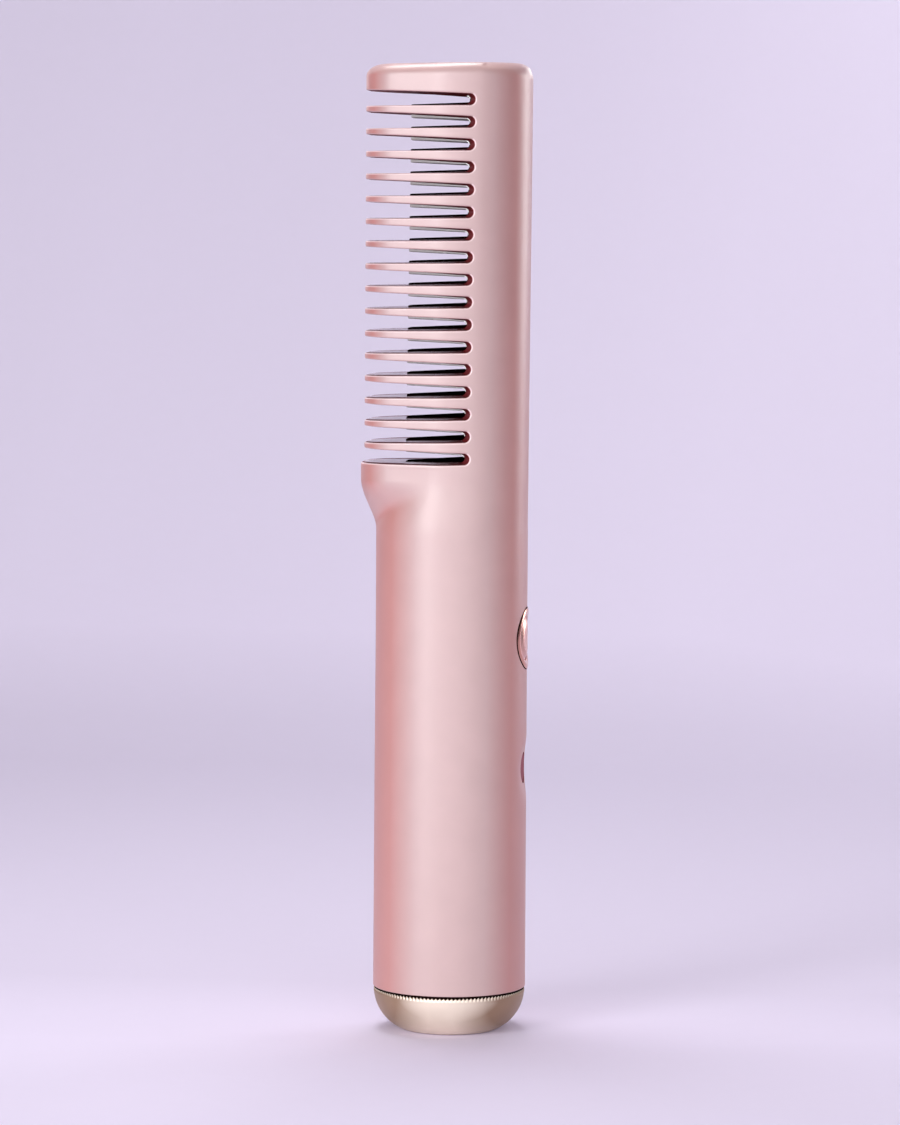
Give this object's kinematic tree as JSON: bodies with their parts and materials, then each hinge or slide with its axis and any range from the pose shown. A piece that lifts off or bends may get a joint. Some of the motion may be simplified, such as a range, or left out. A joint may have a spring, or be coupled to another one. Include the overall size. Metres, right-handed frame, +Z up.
{
  "type": "hot comb",
  "caption": "Cordless hot comb: round handle with a side button and display, slotted head with heated metal teeth, domed base cap with a charging socket.",
  "frame": {"origin": "centre of the charging socket's mouth, in the plane of the flat foot, on the handle's axis", "axes": "+Z up the handle to the head, -X towards the teeth, +X towards the spine with the button, -Y towards the front shell"},
  "size_m": [0.04, 0.0364, 0.2303],
  "materials": {
    "rose_satin": "satin pearl",
    "champagne_satin": "satin champagne anodised",
    "rose_gold": "polished rose gold",
    "button_gold": "plated rose gold",
    "comb_metal": "polished",
    "black_plastic": "fine matt",
    "grey_plastic": "matt",
    "smoked_lens": "gloss",
    "ceramic": "matt",
    "mica": "matt",
    "spring_steel": "brushed",
    "screw_steel": "bright",
    "fuse_brass": "plain",
    "sensor_glass": "gloss",
    "sensor_wire": "matt",
    "red_wire": "matt",
    "black_wire": "matt",
    "cell_wrap": "plastic sleeve",
    "nickel": "plain",
    "circuit_board": "solder resist",
    "switch_plastic": "matt",
    "stem_plastic": "matt",
    "display_plastic": "matt",
    "ferrite": "matt",
    "capacitor": "matt"
  },
  "bodies": {
    "root": {"front_shell": "rose_satin", "rear_shell": "rose_satin", "base_cap": "champagne_satin", "end_plug": "black_plastic", "button_ring": "rose_gold", "display_lens": "smoked_lens", "heating_comb": "comb_metal", "comb_carrier": "black_plastic", "heater_element": "ceramic", "insulation_strip": "mica", "heater_clamp": "spring_steel", "clamp_screws": "screw_steel", "thermal_fuse": "fuse_brass", "temperature_sensor": "sensor_glass", "sensor_leads": "sensor_wire", "heater_leads": "red_wire", "chassis": "grey_plastic", "chassis_screws": "screw_steel", "battery_cell": "cell_wrap", "battery_tabs": "nickel", "battery_leads": "black_wire", "main_board": "circuit_board", "board_screws": "screw_steel", "tact_switch": "switch_plastic", "display_module": "display_plastic", "power_inductor": "ferrite", "capacitors": "capacitor", "charge_board": "circuit_board", "usb_socket": "nickel", "charge_board_screws": "screw_steel", "plug_screws": "screw_steel", "charge_leads": "red_wire"},
    "button": {"power_button": "button_gold", "switch_stem": "stem_plastic"}
  },
  "joints": [
    {"name": "button_press", "type": "slide", "parent": "root", "child": "button", "axis": [-1, 0, 0], "range_m": [0, 0.0006], "stiffness_N_per_m": 800, "springref_m": -0.0005}
  ]
}
